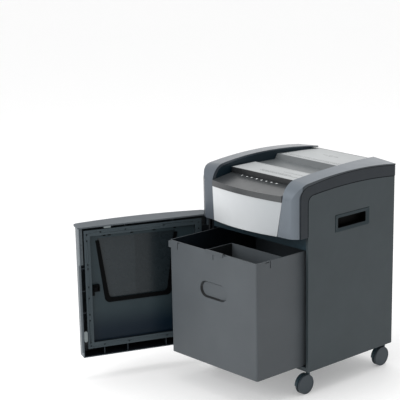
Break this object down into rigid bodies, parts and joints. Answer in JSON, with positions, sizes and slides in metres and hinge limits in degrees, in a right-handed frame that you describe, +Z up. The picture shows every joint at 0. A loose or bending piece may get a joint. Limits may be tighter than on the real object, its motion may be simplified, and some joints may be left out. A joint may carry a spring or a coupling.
{
  "type": "paper shredder",
  "caption": "Cross-cut paper shredder: cabinet on casters, domed head with feed slot, hinged front door with window, pull-out waste bin with grip and compartment.",
  "frame": {"origin": "on the floor under the middle of the cabinet's footprint", "axes": "+Z up; the front, where the door and bin open, faces -Y; +X is the right-hand side seen from the front"},
  "size_m": [0.6066, 0.7742, 0.6588],
  "materials": {
    "slate_laminate": "laminated board, satin",
    "hinge_black": "satin",
    "teal_plastic": "satin",
    "black_plastic": "satin",
    "dark_plastic": "satin",
    "grey_metallic": "satin metallic paint",
    "silver_satin": "satin metallic paint",
    "control_black": "satin",
    "label_sheet": "matt",
    "lamp_white": "matt",
    "bin_plastic": "fine textured",
    "pan_steel": "satin",
    "smoked_glass": "smoked, clear",
    "rubber_grey": "matt",
    "zinc_steel": "zinc plated",
    "tool_steel": "ground",
    "gear_nylon": "natural",
    "motor_paint": "matt",
    "capacitor_white": "gloss",
    "comb_black": "matt",
    "board_green": "satin",
    "rocker_red": "gloss",
    "caster_grey": "satin",
    "wheel_grey": "satin"
  },
  "bodies": {
    "cabinet": {"back_panel": "slate_laminate", "base_plate": "slate_laminate", "bin_glide_strips": "black_plastic", "cabinet_screws": "zinc_steel", "circuit_board": "board_green", "control_panel": "control_black", "cutter_side_plates": "zinc_steel", "feed_throat": "black_plastic", "front_bar": "teal_plastic", "front_deck": "control_black", "front_panel": "silver_satin", "guide_labels": "label_sheet", "handle_cups": "black_plastic", "head_inner_walls": "black_plastic", "head_rail_left": "grey_metallic", "head_rail_right": "grey_metallic", "head_side_left": "dark_plastic", "head_side_right": "dark_plastic", "hinge_brackets": "hinge_black", "indicator_lamps": "lamp_white", "mechanism_shelf": "zinc_steel", "motor": "motor_paint", "power_inlet": "black_plastic", "rear_cover": "black_plastic", "rear_hood": "control_black", "run_capacitor": "capacitor_white", "shaft_bearings": "tool_steel", "side_panel_left": "slate_laminate", "side_panel_right": "slate_laminate", "stripper_combs": "comb_black", "switch_frame": "black_plastic", "tie_rods": "zinc_steel"},
    "door": {"door_shell": "dark_plastic", "door_frame": "dark_plastic", "door_pan": "pan_steel", "door_window": "smoked_glass", "window_gasket": "black_plastic", "door_catch": "black_plastic", "door_bumpers": "rubber_grey", "door_knuckles": "hinge_black"},
    "bin": {"bin_shell": "bin_plastic"},
    "compartment": {"bin_compartment": "bin_plastic"},
    "power_key": {"power_button": "lamp_white"},
    "reverse_key": {"reverse_button": "lamp_white"},
    "forward_key": {"forward_button": "lamp_white"},
    "rocker": {"rocker_switch": "rocker_red"},
    "rear_cutter": {"cutter_shaft_rear": "tool_steel", "rear_shaft_gears": "gear_nylon"},
    "front_cutter": {"cutter_shaft_front": "tool_steel", "front_shaft_gear": "gear_nylon"},
    "lay": {"lay_gear": "gear_nylon"},
    "motor_rotor": {"motor_shaft": "tool_steel"},
    "swivel_front_left": {"caster_fork_front_left": "caster_grey"},
    "wheels_front_left": {"caster_wheels_front_left": "wheel_grey"},
    "swivel_front_right": {"caster_fork_front_right": "caster_grey"},
    "wheels_front_right": {"caster_wheels_front_right": "wheel_grey"},
    "swivel_rear_left": {"caster_fork_rear_left": "caster_grey"},
    "wheels_rear_left": {"caster_wheels_rear_left": "wheel_grey"},
    "swivel_rear_right": {"caster_fork_rear_right": "caster_grey"},
    "wheels_rear_right": {"caster_wheels_rear_right": "wheel_grey"}
  },
  "joints": [
    {"name": "door_hinge", "type": "hinge", "parent": "cabinet", "child": "door", "pos_m": [-0.208, -0.192, 0.28], "axis": [0, 0, -1], "range_deg": [-22, 14]},
    {"name": "bin_slide", "type": "slide", "parent": "cabinet", "child": "bin", "axis": [0, -1, 0], "range_m": [-0.189, 0.13]},
    {"name": "compartment_lift", "type": "slide", "parent": "bin", "child": "compartment", "axis": [0, 0, 1], "range_m": [0, 0.16]},
    {"name": "power_push", "type": "slide", "parent": "cabinet", "child": "power_key", "axis": [0, 0.1483, -0.9889], "range_m": [0, 0.0008], "stiffness_N_per_m": 900, "springref_m": -0.001},
    {"name": "reverse_push", "type": "slide", "parent": "cabinet", "child": "reverse_key", "axis": [0, 0.1483, -0.9889], "range_m": [0, 0.0008], "stiffness_N_per_m": 900, "springref_m": -0.001},
    {"name": "forward_push", "type": "slide", "parent": "cabinet", "child": "forward_key", "axis": [0, 0.1483, -0.9889], "range_m": [0, 0.0008], "stiffness_N_per_m": 900, "springref_m": -0.001},
    {"name": "rocker_tilt", "type": "hinge", "parent": "cabinet", "child": "rocker", "pos_m": [-0.095, 0.1795, 0.5035], "axis": [1, 0, 0], "range_deg": [0, 16]},
    {"name": "rear_cutter_spin", "type": "hinge", "parent": "cabinet", "child": "rear_cutter", "pos_m": [0, -0.032, 0.5435], "axis": [1, 0, 0], "continuous": true},
    {"name": "front_cutter_spin", "type": "hinge", "parent": "cabinet", "child": "front_cutter", "pos_m": [0, -0.076, 0.5435], "axis": [1, 0, 0], "continuous": true},
    {"name": "lay_gear_spin", "type": "hinge", "parent": "cabinet", "child": "lay", "pos_m": [0.15, 0.024, 0.52196], "axis": [1, 0, 0], "continuous": true},
    {"name": "motor_spin", "type": "hinge", "parent": "cabinet", "child": "motor_rotor", "pos_m": [0.15, 0.06775, 0.52196], "axis": [1, 0, 0], "continuous": true},
    {"name": "caster_swivel_front_left", "type": "hinge", "parent": "cabinet", "child": "swivel_front_left", "pos_m": [-0.179, -0.1596, 0.065], "axis": [0, 0, 1], "continuous": true},
    {"name": "caster_roll_front_left", "type": "hinge", "parent": "swivel_front_left", "child": "wheels_front_left", "pos_m": [-0.179, -0.1756, 0.03], "axis": [1, 0, 0], "continuous": true},
    {"name": "caster_swivel_front_right", "type": "hinge", "parent": "cabinet", "child": "swivel_front_right", "pos_m": [0.179, -0.1596, 0.065], "axis": [0, 0, 1], "continuous": true},
    {"name": "caster_roll_front_right", "type": "hinge", "parent": "swivel_front_right", "child": "wheels_front_right", "pos_m": [0.179, -0.1756, 0.03], "axis": [1, 0, 0], "continuous": true},
    {"name": "caster_swivel_rear_left", "type": "hinge", "parent": "cabinet", "child": "swivel_rear_left", "pos_m": [-0.179, 0.177, 0.065], "axis": [0, 0, 1], "continuous": true},
    {"name": "caster_roll_rear_left", "type": "hinge", "parent": "swivel_rear_left", "child": "wheels_rear_left", "pos_m": [-0.179, 0.161, 0.03], "axis": [1, 0, 0], "continuous": true},
    {"name": "caster_swivel_rear_right", "type": "hinge", "parent": "cabinet", "child": "swivel_rear_right", "pos_m": [0.179, 0.177, 0.065], "axis": [0, 0, 1], "continuous": true},
    {"name": "caster_roll_rear_right", "type": "hinge", "parent": "swivel_rear_right", "child": "wheels_rear_right", "pos_m": [0.179, 0.161, 0.03], "axis": [1, 0, 0], "continuous": true}
  ],
  "couplings": [
    {"joint": "front_cutter_spin", "follows": "rear_cutter_spin", "ratio": -1},
    {"joint": "lay_gear_spin", "follows": "rear_cutter_spin", "ratio": -2.75},
    {"joint": "motor_spin", "follows": "rear_cutter_spin", "ratio": 11}
  ]
}
